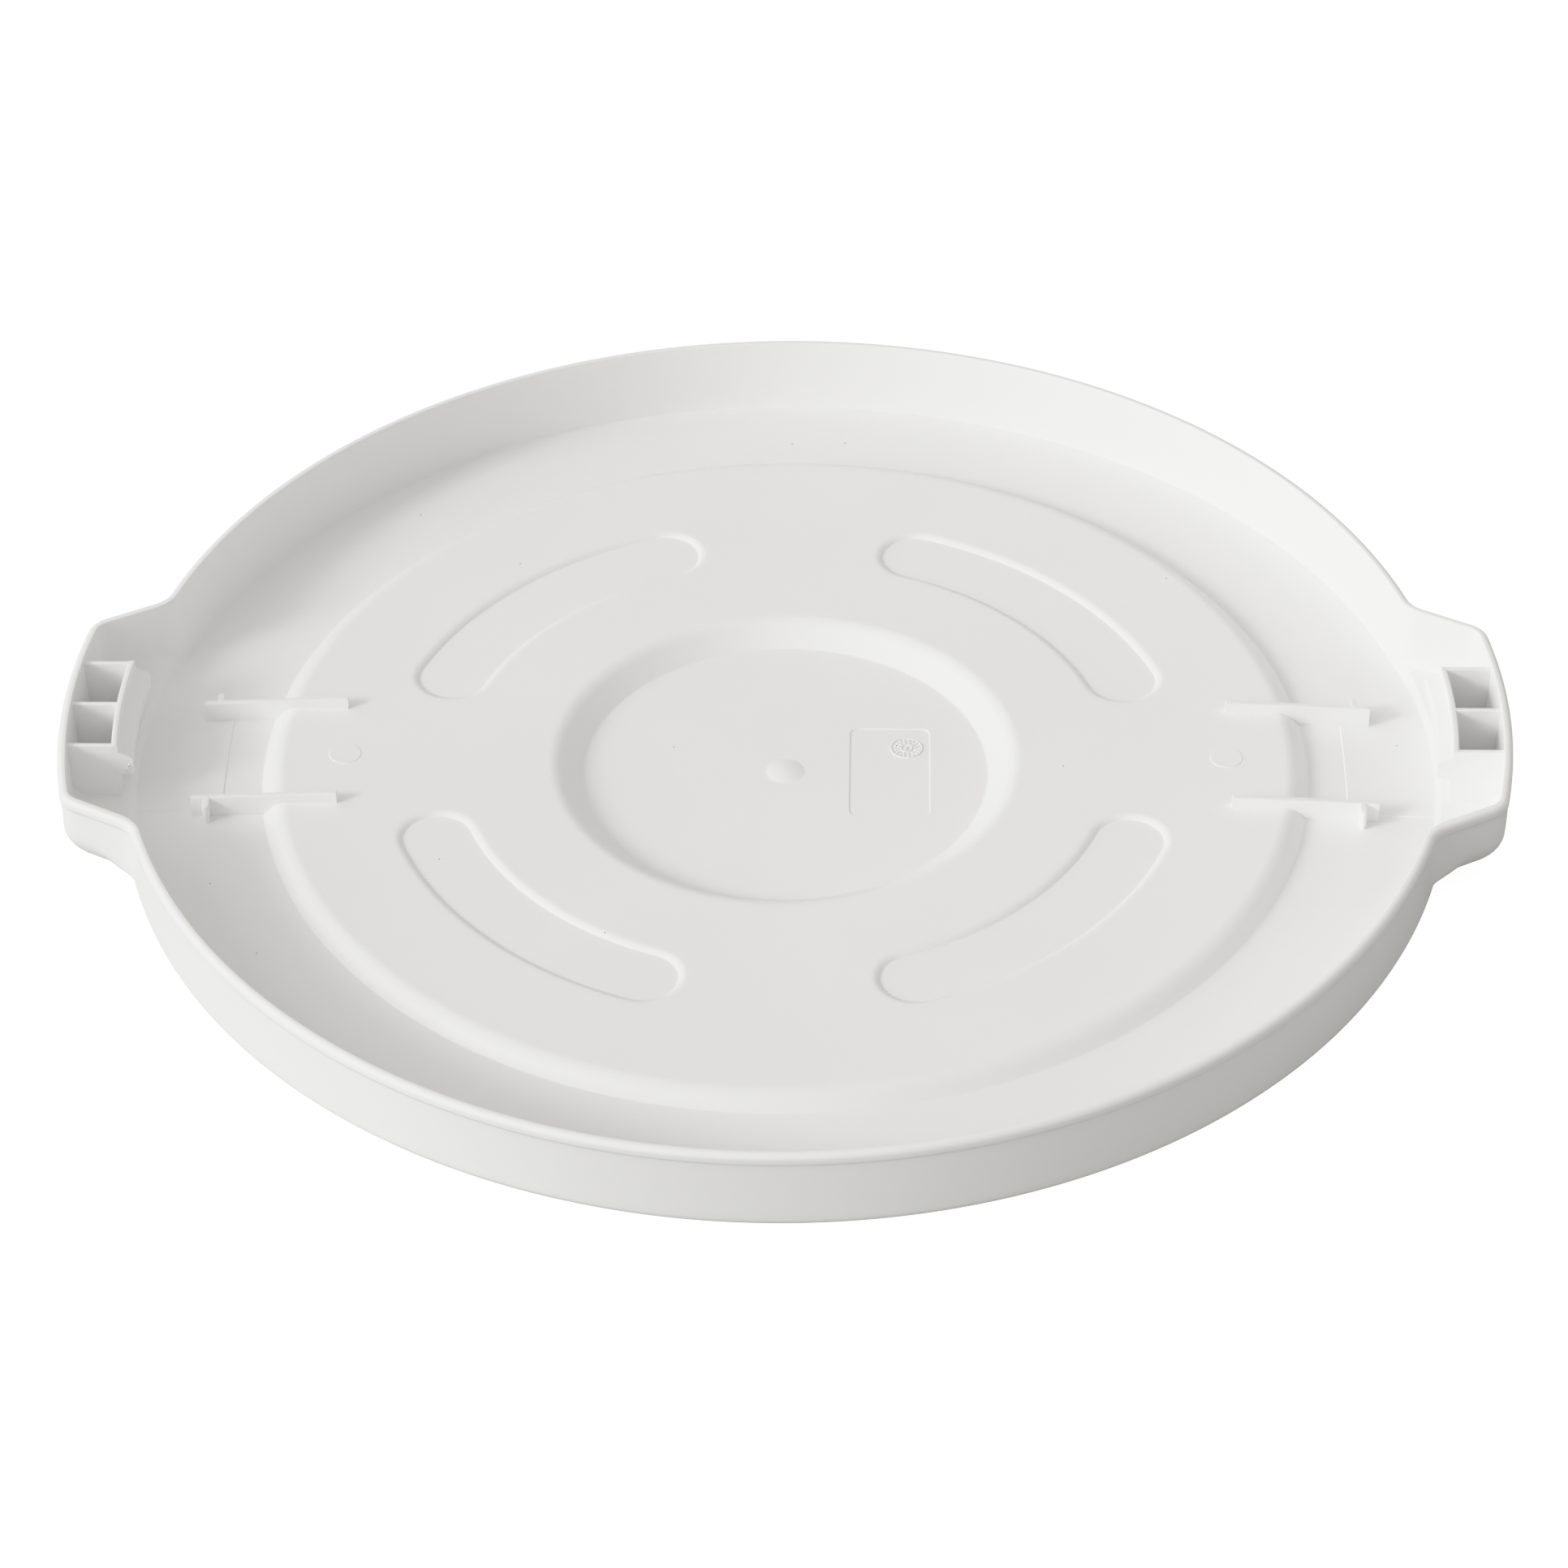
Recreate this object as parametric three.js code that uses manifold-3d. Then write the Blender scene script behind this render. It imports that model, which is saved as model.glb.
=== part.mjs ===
// A round container lid, moulded in one shot from white plastic, lying open side up.
// Millimetres, +Z up. The origin is at the centre of the ring that the lid rests on.
// X runs through the two handle lugs. The moulding is divided into named regions
// (deck, skirt, lugs, ribs, rails), which meet each other across a fine joint gap.
import * as THREE from 'three';
import { mergeVertices } from 'three/addons/utils/BufferGeometryUtils.js';
import Module from 'manifold-3d';

const wasm = await Module();
wasm.setup();

// ---- driving dimensions ----
const HEIGHT = 37.5; // resting ring to rim
const WALL = 2.7; // general wall thickness
const GAP = 0.3; // joint gap between regions
const RIM_RADIUS = 281.2; // outside of the rim band
const BAND = { depth: 4.3, proud: 0.8, edge: 0.9 };
const RIM_WIDTH = 3.7; // flat top of the rim, band included
const WALL_DRAFT = 1.2; // how much the skirt's inside narrows towards the floor
const FOOT = { inner: 267, outer: 274.7, round: 5 }; // flat ring that the lid rests on

const DECK_TOP = 13.8; // raised middle of the deck
const ANNULUS_TOP = 7.5; // lower ring round it, at the foot of the step
const ANNULUS_DIP = [[254, 6.6], [262, 5.5], [270, 3.8]]; // radius and height, down to the skirt
const STEP = { crest: 213.3, foot: 222.3, round: 6 };
const WELL = { floor: 86.4, lip: 100.3, top: 5.3, round: 9 };
const ARC_RECESS = { radius: 155, floor: 14.6, lip: 18.5, from: 21, to: 69, depth: 1.5 };

const LUG = { tip: 306.8, corner: 11.6, root: 16.1, cornerRound: 12, rootRound: 14 };
const LUG_CORNER_SPREAD = 3.2; // degrees of the tip that its rounded corner takes up
const LUG_SECTOR = 20; // half angle of the skirt that each lug region takes up, degrees
const LUG_FLOOR = 10; // top of the lug's floor
const LUG_FLOOR_ROUND = 5.3;
const LUG_UNDERSIDE_ROUND = 11;

const RIB = { inner: 281.6, thickness: 2.6, top: HEIGHT - 2, from: -23.3, to: 36.1 };
// The bead on the ribs' inner wall: how far it stands out, and its heights from the rim's side down.
const SNAP_BEAD = { reach: 6, crest: 32, top: 29, bottom: 22, root: 20 };
const PARTITIONS = { positions: [35, 6.4, -22.2], thickness: 2.2 };

const RAIL = { side: 32.6, inner: 188.4, outer: 250.2, thickness: 2.6, innerTop: 18.8, outerTop: 15.8 };
const RAIL_TEE = { at: 243.5, thickness: 3.2, reach: 5.6, top: 16 };

const ROUND_SEGMENTS = 96;
const COLOUR = '#e9e8e4';

// ---- solids ----

// A closed three.js geometry as a manifold solid, with its faces turned outwards.
function solid(geometry) {
  const bare = geometry.clone();
  bare.deleteAttribute('normal');
  bare.deleteAttribute('uv');
  const merged = mergeVertices(bare, 1e-4);
  const points = merged.attributes.position;
  const index = merged.index.array;
  const corners = [new THREE.Vector3(), new THREE.Vector3(), new THREE.Vector3()];
  const triangles = [];
  let volume = 0;
  for (let i = 0; i < index.length; i += 3) {
    const [a, b, c] = [index[i], index[i + 1], index[i + 2]];
    if (a === b || b === c || a === c) continue;
    triangles.push(a, b, c);
    [a, b, c].forEach((vertex, k) => corners[k].fromBufferAttribute(points, vertex));
    volume += corners[0].dot(corners[1].clone().cross(corners[2]));
  }
  if (volume < 0) triangles.reverse();
  return new wasm.Manifold(new wasm.Mesh({
    numProp: 3,
    vertProperties: new Float32Array(points.array),
    triVerts: new Uint32Array(triangles),
  }));
}

function revolve(profile, segments = ROUND_SEGMENTS) {
  const points = profile.map(([radius, z]) => new THREE.Vector2(radius, z));
  points.push(points[0].clone());
  const geometry = new THREE.LatheGeometry(points, segments);
  geometry.rotateX(Math.PI / 2);
  return solid(geometry);
}

// An upright prism, whose two ends can be bevelled in by bevel over a height of rise.
function extrude(outline, low, high, bevel = 0, rise = bevel, bevelSegments = 3) {
  const shape = new THREE.Shape(outline.map(([x, y]) => new THREE.Vector2(x, y)));
  const geometry = new THREE.ExtrudeGeometry(shape, {
    depth: high - low - 2 * rise,
    bevelEnabled: bevel > 0,
    bevelSize: bevel,
    bevelThickness: rise,
    bevelOffset: -bevel,
    bevelSegments,
  });
  geometry.translate(0, 0, low + rise);
  return solid(geometry);
}

// Extrudes an outline drawn in X and Z between two values of Y.
function extrudeAlongY(outline, near, far) {
  const shape = new THREE.Shape(outline.map(([x, z]) => new THREE.Vector2(x, z)));
  const geometry = new THREE.ExtrudeGeometry(shape, { depth: far - near, bevelEnabled: false });
  geometry.rotateX(Math.PI / 2);
  geometry.translate(0, far, 0);
  return solid(geometry);
}

function box(x0, x1, y0, y1, z0, z1) {
  const geometry = new THREE.BoxGeometry(x1 - x0, y1 - y0, z1 - z0);
  geometry.translate((x0 + x1) / 2, (y0 + y1) / 2, (z0 + z1) / 2);
  return solid(geometry);
}

// ---- outlines ----

const radians = THREE.MathUtils.degToRad;
const polar = (radius, degrees) => [radius * Math.cos(radians(degrees)), radius * Math.sin(radians(degrees))];

function arc(radius, fromDegrees, toDegrees, step = 3.75, centre = [0, 0]) {
  const count = Math.max(1, Math.ceil(Math.abs(toDegrees - fromDegrees) / step));
  return Array.from({ length: count + 1 }, (_, i) => {
    const [x, y] = polar(radius, fromDegrees + ((toDegrees - fromDegrees) * i) / count);
    return [centre[0] + x, centre[1] + y];
  });
}

// Points of the round that replaces a corner, tangent to both of its sides.
function roundCorner(before, corner, after, radius, steps = 5) {
  const at = new THREE.Vector2(...corner);
  const inward = new THREE.Vector2(...before).sub(at).normalize();
  const outward = new THREE.Vector2(...after).sub(at).normalize();
  const half = Math.acos(inward.dot(outward)) / 2;
  const middle = inward.clone().add(outward).normalize();
  const centre = at.clone().addScaledVector(middle, radius / Math.sin(half));
  const start = at.clone().addScaledVector(inward, radius / Math.tan(half)).sub(centre);
  const end = at.clone().addScaledVector(outward, radius / Math.tan(half)).sub(centre);
  const from = start.angle();
  let turn = end.angle() - from;
  if (turn > Math.PI) turn -= 2 * Math.PI;
  if (turn < -Math.PI) turn += 2 * Math.PI;
  return Array.from({ length: steps + 1 }, (_, i) => {
    const angle = from + (turn * i) / steps;
    return [centre.x + radius * Math.cos(angle), centre.y + radius * Math.sin(angle)];
  });
}

// Where the straight side of the lug, moved inwards by inset, crosses a circle.
function sideAtRadius(radius, inset) {
  const root = new THREE.Vector2(...polar(RIM_RADIUS, LUG.root));
  const along = new THREE.Vector2(...polar(LUG.tip, LUG.corner)).sub(root).normalize();
  const point = root.clone().add(new THREE.Vector2(-along.y, along.x).multiplyScalar(-inset));
  const dot = point.dot(along);
  return point.addScaledVector(along, -dot + Math.sqrt(dot * dot - point.lengthSq() + radius * radius));
}

// One lug and the skirt on both sides of it, seen from above, inset from the rim's outside.
// The outline closes along an arc inside the skirt.
function lugOutline(inset, closingRadius = STEP.foot) {
  const skirt = RIM_RADIUS - inset;
  const tip = LUG.tip - inset;
  const root = sideAtRadius(skirt, inset).toArray();
  const corner = sideAtRadius(tip, inset).toArray();
  const cornerAngle = THREE.MathUtils.radToDeg(Math.atan2(corner[1], corner[0]));
  const faceEnd = cornerAngle - LUG_CORNER_SPREAD;
  const beyond = LUG_SECTOR + 5;
  const mirror = ([x, y]) => [x, -y];
  const face = arc(tip, -faceEnd, faceEnd, 2.5);
  const upper = [
    ...roundCorner(polar(tip, faceEnd), corner, root, LUG.cornerRound - inset),
    ...roundCorner(corner, root, polar(skirt, beyond), LUG.rootRound + inset),
    polar(skirt, LUG_SECTOR + 1),
    polar(skirt, beyond),
  ];
  const closing = arc(closingRadius, beyond, -beyond);
  return [...face, ...upper, ...closing, ...upper.map(mirror).reverse()];
}

// ---- deck ----

// A wall that rises from a crisp foot and rolls over a round crest onto a flat.
function rolledWall(foot, crest, round, steps = 4) {
  const outwards = Math.sign(crest[0] - foot[0]);
  const centre = [crest[0], crest[1] - round];
  const reach = Math.hypot(centre[0] - foot[0], centre[1] - foot[1]);
  const lean = Math.asin(round / reach) + Math.atan2(centre[1] - foot[1], Math.abs(centre[0] - foot[0]));
  const points = [foot];
  for (let i = 0; i <= steps; i += 1) {
    const angle = lean * (1 - i / steps);
    points.push([centre[0] - outwards * round * Math.sin(angle), centre[1] + round * Math.cos(angle)]);
  }
  return points;
}

function deckSurface() {
  return [
    [0, WELL.top],
    ...rolledWall([WELL.floor, WELL.top], [WELL.lip, DECK_TOP], WELL.round),
    ...rolledWall([STEP.foot, ANNULUS_TOP], [STEP.crest, DECK_TOP], STEP.round).reverse(),
    ...ANNULUS_DIP,
    [FOOT.outer - GAP / 2, WALL + 0.2],
  ];
}

function deckUnderside() {
  return [
    [FOOT.outer - GAP / 2, 0],
    [FOOT.inner, 0],
    [FOOT.inner - 2 * FOOT.round, ANNULUS_TOP - 1.5 * WALL],
    [STEP.foot + 1, ANNULUS_TOP - WALL],
    [STEP.crest + 2, DECK_TOP - WALL],
    [WELL.lip, DECK_TOP - WALL],
    [WELL.floor + 1.5, WELL.top - WALL],
    [0, WELL.top - WALL],
  ];
}

// Height of the deck's upper surface at a radius.
function deckHeight(radius) {
  const surface = deckSurface();
  const next = surface.findIndex(([r], i) => i > 0 && r >= radius);
  const [r0, z0] = surface[next - 1];
  const [r1, z1] = surface[next];
  return z0 + ((z1 - z0) * (radius - r0)) / (r1 - r0);
}

// One curved slot with round ends, in the quadrant that starts at the given angle.
function arcSlot(quadrant, halfWidth) {
  const { radius, from, to } = ARC_RECESS;
  const [start, end] = [quadrant + from, quadrant + to];
  return [
    ...arc(radius + halfWidth, start, end),
    ...arc(halfWidth, end, end + 180, 30, polar(radius, end)).slice(1, -1),
    ...arc(radius - halfWidth, end, start),
    ...arc(halfWidth, start + 180, start + 360, 30, polar(radius, start)).slice(1, -1),
  ];
}

// The recesses keep the wall's thickness, so each one stands out below the deck.
function deckPanel() {
  const { floor, lip, depth } = ARC_RECESS;
  const under = DECK_TOP - WALL;
  const past = 1.1; // carries the sloping sides of the cutter a little above the deck
  const slope = past * (lip - floor);
  let deck = revolve([...deckSurface(), ...deckUnderside()]);
  for (const quadrant of [0, 90, 180, 270]) {
    const emboss = extrude(arcSlot(quadrant, lip), under - depth, under + depth / 2);
    const cutter = arcSlot(quadrant, floor + slope);
    const recess = extrude(cutter, DECK_TOP - depth, DECK_TOP + 3 * depth, slope, past * depth, 1);
    deck = deck.add(emboss).subtract(recess);
  }
  return deck;
}

// ---- skirt ----

function skirtProfile() {
  const wallOutside = RIM_RADIUS - BAND.proud;
  const rimInside = RIM_RADIUS - RIM_WIDTH;
  const bandFoot = HEIGHT - BAND.depth;
  const inside = FOOT.outer + GAP / 2;
  return [
    [inside, 0],
    ...arc(FOOT.round, -90, 0, 22.5, [wallOutside - FOOT.round, FOOT.round]),
    [wallOutside, bandFoot - 0.8],
    [RIM_RADIUS, bandFoot],
    [RIM_RADIUS, HEIGHT - BAND.edge],
    [RIM_RADIUS - BAND.edge, HEIGHT],
    [rimInside + BAND.edge / 2, HEIGHT],
    [rimInside, HEIGHT - BAND.edge / 2],
    [rimInside - WALL_DRAFT, WALL + 2],
    [inside, WALL + 0.2],
  ];
}

// The skirt between the lugs, on the side of the lid that faces the given angle.
function skirtArc(facing) {
  const half = 90 - LUG_SECTOR;
  const reach = 2 * RIM_RADIUS;
  const wedge = [
    [0, 0],
    polar(reach, facing - half),
    polar(reach, facing - half / 2),
    polar(reach, facing),
    polar(reach, facing + half / 2),
    polar(reach, facing + half),
  ];
  return revolve(skirtProfile()).intersect(extrude(wedge, -1, HEIGHT + 1));
}

// ---- handle lugs ----

// Keeps what lies in the lug's sector, one joint gap short of the skirt on each side.
function lugSector() {
  const reach = 2 * RIM_RADIUS;
  const apex = GAP / Math.sin(radians(LUG_SECTOR));
  const spread = reach * Math.tan(radians(LUG_SECTOR));
  return extrude([[apex, 0], [apex + reach, -spread], [apex + reach, spread]], -1, HEIGHT + 1);
}

// The foot of the skirt, which runs on under the lug's mouth and carries its floor.
function footUnderLug() {
  const profile = skirtProfile();
  const inner = profile.slice(-2);
  const outer = profile.filter(([, z], i) => i > 0 && i < profile.length - 2 && z <= FOOT.round);
  const wallOutside = RIM_RADIUS - BAND.proud;
  return revolve([profile[0], ...outer, [wallOutside, LUG_FLOOR], [inner[0][0], LUG_FLOOR], ...inner]);
}

function handleLug() {
  const inside = FOOT.outer + GAP / 2;
  const wall = lugOutline(BAND.proud);
  const band = lugOutline(0);
  const hollow = lugOutline(RIM_WIDTH, STEP.crest);
  const core = revolve([[0, -1], [inside, -1], [inside, 2 * HEIGHT], [0, 2 * HEIGHT]]);
  return extrude(wall, LUG_FLOOR - WALL, 2 * HEIGHT, LUG_UNDERSIDE_ROUND)
    .subtract(box(0, 2 * RIM_RADIUS, -RIM_RADIUS, RIM_RADIUS, HEIGHT - 1, 3 * HEIGHT))
    .add(extrude(band, HEIGHT - BAND.depth, HEIGHT))
    .subtract(extrude(hollow, LUG_FLOOR, 2 * HEIGHT, LUG_FLOOR_ROUND))
    .add(footUnderLug())
    .subtract(core)
    .intersect(lugSector());
}

// ---- ribs inside a lug ----

// A curved inner wall, with a bead that snaps under a container's handle, tied to the
// lug's tip by flat partitions.

function lugRibs() {
  const low = LUG_FLOOR + GAP;
  const outside = LUG.tip - RIM_WIDTH - GAP;
  const half = PARTITIONS.thickness / 2;
  const ring = revolve([
    [RIB.inner, low],
    [RIB.inner + RIB.thickness, low],
    [RIB.inner + RIB.thickness, RIB.top],
    [RIB.inner, RIB.top],
    [RIB.inner, SNAP_BEAD.crest],
    [RIB.inner - SNAP_BEAD.reach, SNAP_BEAD.top],
    [RIB.inner - SNAP_BEAD.reach, SNAP_BEAD.bottom],
    [RIB.inner, SNAP_BEAD.root],
  ]);
  let ribs = ring.intersect(box(0, 2 * RIB.inner, RIB.from, RIB.to, 0, HEIGHT));
  for (const y of PARTITIONS.positions) {
    const start = Math.sqrt(RIB.inner ** 2 - y ** 2) + 1;
    const end = Math.sqrt(outside ** 2 - (Math.abs(y) + half) ** 2);
    ribs = ribs
      .add(box(start, end, y - half, y + half, low + LUG_FLOOR_ROUND, RIB.top))
      .add(box(start, end - LUG_FLOOR_ROUND, y - half, y + half, low, RIB.top));
  }
  return ribs;
}

// ---- guide rails on the deck ----

// A thin upright rail whose foot follows the deck, with a short tee near its outer end.
function guideRail() {
  const half = RAIL.thickness / 2;
  const steps = 20;
  const foot = Array.from({ length: steps + 1 }, (_, i) => {
    const x = RAIL.inner + ((RAIL.outer - RAIL.inner) * i) / steps;
    const near = deckHeight(Math.hypot(x, RAIL.side - half));
    const far = deckHeight(Math.hypot(x, RAIL.side + half));
    return [x, Math.max(near, far) + GAP];
  });
  const outline = [...foot, [RAIL.outer, RAIL.outerTop], [RAIL.inner, RAIL.innerTop]];
  const blade = extrudeAlongY(outline, RAIL.side - half, RAIL.side + half);
  const teeHalf = RAIL_TEE.thickness / 2;
  const teeFoot = deckHeight(Math.hypot(RAIL_TEE.at - teeHalf, RAIL.side)) + GAP;
  return blade.add(box(RAIL_TEE.at - teeHalf, RAIL_TEE.at + teeHalf,
    RAIL.side, RAIL.side + half + RAIL_TEE.reach, teeFoot, RAIL_TEE.top));
}

// ---- assembly ----

const lid = new THREE.Group();

// Adds a region, mirrored across X or Y where a sign is -1.
function addRegion(name, manifold, across = 1, along = 1) {
  const mesh = manifold.getMesh();
  const positions = new Float32Array(mesh.vertProperties);
  for (let i = 0; i < positions.length; i += 3) {
    positions[i] *= across;
    positions[i + 1] *= along;
  }
  const triangles = new Uint32Array(mesh.triVerts);
  if (across * along < 0) triangles.reverse();
  const geometry = new THREE.BufferGeometry();
  geometry.setAttribute('position', new THREE.BufferAttribute(positions, 3));
  geometry.setIndex(new THREE.BufferAttribute(triangles, 1));
  const material = new THREE.MeshStandardMaterial({ color: COLOUR, roughness: 0.42, metalness: 0 });
  const region = new THREE.Mesh(geometry, material);
  region.name = name;
  lid.add(region);
}

addRegion('deck_panel', deckPanel());
addRegion('skirt_front', skirtArc(-90));
addRegion('skirt_back', skirtArc(90));
for (const [side, across] of [['right', 1], ['left', -1]]) {
  addRegion(`handle_lug_${side}`, handleLug(), across);
  addRegion(`lug_ribs_${side}`, lugRibs(), across);
  addRegion(`guide_rail_${side}_back`, guideRail(), across);
  addRegion(`guide_rail_${side}_front`, guideRail(), across, -1);
}

export default lid;
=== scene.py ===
"""A round moulded container lid, lying open side up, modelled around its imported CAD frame.

Lengths below are millimetres in the lid's own frame: Z from the ring that it rests on,
X through the two handle lugs. They become metres where a mesh is made.
"""
import math
import random

import bmesh
import bpy
import numpy as np
from mathutils import Matrix, Vector
from mathutils.geometry import delaunay_2d_cdt


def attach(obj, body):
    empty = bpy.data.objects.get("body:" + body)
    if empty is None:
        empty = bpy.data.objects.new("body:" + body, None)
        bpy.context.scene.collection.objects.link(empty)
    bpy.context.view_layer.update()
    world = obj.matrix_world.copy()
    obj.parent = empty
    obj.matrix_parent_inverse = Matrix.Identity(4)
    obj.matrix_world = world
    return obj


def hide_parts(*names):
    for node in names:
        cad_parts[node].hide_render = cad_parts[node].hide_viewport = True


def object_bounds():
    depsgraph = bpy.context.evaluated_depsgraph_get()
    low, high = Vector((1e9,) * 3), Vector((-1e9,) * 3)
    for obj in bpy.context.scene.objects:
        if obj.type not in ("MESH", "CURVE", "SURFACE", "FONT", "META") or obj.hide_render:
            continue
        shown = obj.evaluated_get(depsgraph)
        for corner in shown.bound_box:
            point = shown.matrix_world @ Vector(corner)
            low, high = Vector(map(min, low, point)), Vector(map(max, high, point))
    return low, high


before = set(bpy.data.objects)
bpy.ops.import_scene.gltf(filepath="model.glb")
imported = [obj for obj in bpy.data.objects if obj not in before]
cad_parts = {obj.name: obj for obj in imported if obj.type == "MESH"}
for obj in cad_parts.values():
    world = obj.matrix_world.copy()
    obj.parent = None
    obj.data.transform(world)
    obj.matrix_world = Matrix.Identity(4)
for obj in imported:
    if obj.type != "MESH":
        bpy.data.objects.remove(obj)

MM = 0.001
SHARP_ANGLE = math.radians(33)  # edges that turn more than this are shaded as creases
cad_low, cad_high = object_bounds()

# ---- driving dimensions ----

HEIGHT = cad_high.z / MM
LUG_TIP = cad_high.x / MM
RIM = cad_high.y / MM
WALL = 2.7
RIM_WIDTH = 3.7
RIM_ROUND = 2.4  # outer edge of the rim
DRAFT = 1.6  # how much the skirt's inside narrows from the rim to the floor
BAND_DEPTH, BAND_PROUD, BAND_SLOPE = 4.3, 0.75, 0.9  # the band round the rim, and its sloped foot
FOOT_INNER = 267.0
FOOT_ROUND = 4.1
FLOOR_FILLET = 5.3  # inside, between a lug's floor and its wall
FINE_ROUND = 0.5  # edges and corners with no round of their own

DECK_TOP = 13.8
WELL_TOP = 5.3
STEP_CORNER, STEP_FOOT = 216.5, 222.3
WELL_CORNER, WELL_FLOOR = 97.2, 86.4
STEP_ROUND, WELL_ROUND = 4.1, 3.4  # how far each round reaches from its corner
ANNULUS_TOP = 7.5
ANNULUS_FALL = 0.03  # slope of the annulus away from the step
DIP_FROM, DIP_DEPTH = 249.0, 3.0
CREASE = 275.8  # radius where the annulus meets the skirt

LUG_CORNER, LUG_ROOT = 11.6, 16.1  # degrees from the lug's axis
LUG_CORNER_ROUND, LUG_ROOT_ROUND = 12.0, 14.0
LUG_FLOOR = 10.0
LUG_MOUTH = 8.6  # height of the floor's inner edge
LUG_UNDERSIDE, LUG_UNDERSIDE_ROUND = 7.7, 11.5
LUG_BLEND = 8.0  # the underside rises and its round shrinks where the lug is shallower than this
MOUTH_EDGE = 278.3

INSERT_HALF = 30.2  # half width of the mould insert's mark in front of each lug
INSERT_FROM = 238.2
INSERT_STEP = 0.42
INSERT_FLAT = 7.3  # the mark's inner edge is straight out to this many degrees
INSERT_FADE = 11.0  # how far from that edge the rings beside it still bend with it

SLOT_RADIUS, SLOT_LIP, SLOT_FLOOR = 155.0, 16.3, 14.6
SLOT_FROM, SLOT_TO = 21.0, 69.0
SLOT_DEPTH = 1.5

GATE_RADIUS, GATE_HEIGHT = 8.4, 1.2
LABEL_X, LABEL_HALF, LABEL_ROUND, LABEL_DEPTH = (27.3, 61.8), 30.1, 4.0, 0.34
DIAL_CENTRE, DIAL_RADIUS = (51.7, 16.6), 6.9
EJECTOR_RADIUS, EJECTOR_STEP, EJECTOR_AT = 6.95, 0.22, 187.5

RIB_INNER, RIB_THICKNESS, RIB_TOP = 281.6, 2.6, HEIGHT - 2
RIB_FROM, RIB_TO = -23.3, 36.1
RIB_SINK = 1.5  # how far the curved wall's foot runs into the lug's floor
PARTITIONS, PARTITION_THICKNESS = (35.0, 6.4, -22.2), 2.2
PARTITION_SINK = 1.2  # how far the partitions' feet run into the lug's floor
PARTITION_DROP = 0.05  # how far their tops stay below the curved wall's
BEAD_REACH, BEAD_CREST, BEAD_TOP, BEAD_BOTTOM, BEAD_ROOT = 6.0, 32.0, 29.0, 22.0, 20.0
FLASH_IN, FLASH_HEIGHT = 1.6, 24.0  # the flash's middle: behind the bead's edge, and its height

RAIL_SIDE, RAIL_INNER, RAIL_OUTER, RAIL_THICKNESS = 32.6, 188.4, 250.2, 2.6
RAIL_INNER_TOP, RAIL_OUTER_TOP = 18.8, 15.8
RAIL_SINK = 1.8  # how far the rails' feet run into the deck
TEE_AT, TEE_THICKNESS, TEE_REACH, TEE_FALL = 243.5, 2.8, 5.8, 0.8
TEE_PROUD = 0.15  # how far a tee's top stands above its rail

# The lens, and where the camera stands: metres and degrees.
SENSOR, LENS = 36, 134.16
CAMERA_AIM, CAMERA_DISTANCE = (0.00045, -0.04625, 0.035), 2.43681
CAMERA_ELEVATION, CAMERA_AZIMUTH, CAMERA_ROLL = 38.346, 1.28, -0.517


# ---- outlines ----

def smooth(x):
    x = min(1.0, max(0.0, x))
    return x * x * (3 - 2 * x)


def rounded(corners):
    """A path through corners (a, b, reach, steps).

    An arc of so many steps turns each corner, and reaches so far along both of its sides.
    """
    points = [np.array(c[:2], float) for c in corners]
    lengths = [np.linalg.norm(q - p) for p, q in zip(points, points[1:])]
    reaches = [c[2] for c in corners]
    room = [1.0] * len(corners)
    for i, length in enumerate(lengths):
        share = 0.96 * length / max(reaches[i] + reaches[i + 1], 1e-9)
        room[i], room[i + 1] = min(room[i], share), min(room[i + 1], share)
    path = []
    for i, (_, _, reach, steps) in enumerate(corners):
        if not steps:
            path.append(points[i])
            continue
        back = (points[i - 1] - points[i]) / lengths[i - 1]
        ahead = (points[i + 1] - points[i]) / lengths[i]
        weight = math.sqrt(max(0.0, (1 - back @ ahead) / 2))
        start = points[i] + back * reach * min(1.0, room[i])
        end = points[i] + ahead * reach * min(1.0, room[i])
        for k in range(steps + 1):
            s = k / steps
            parts = ((1 - s) ** 2, 2 * s * (1 - s) * weight, s * s)
            path.append((parts[0] * start + parts[1] * points[i] + parts[2] * end) / sum(parts))
    return path


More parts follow.
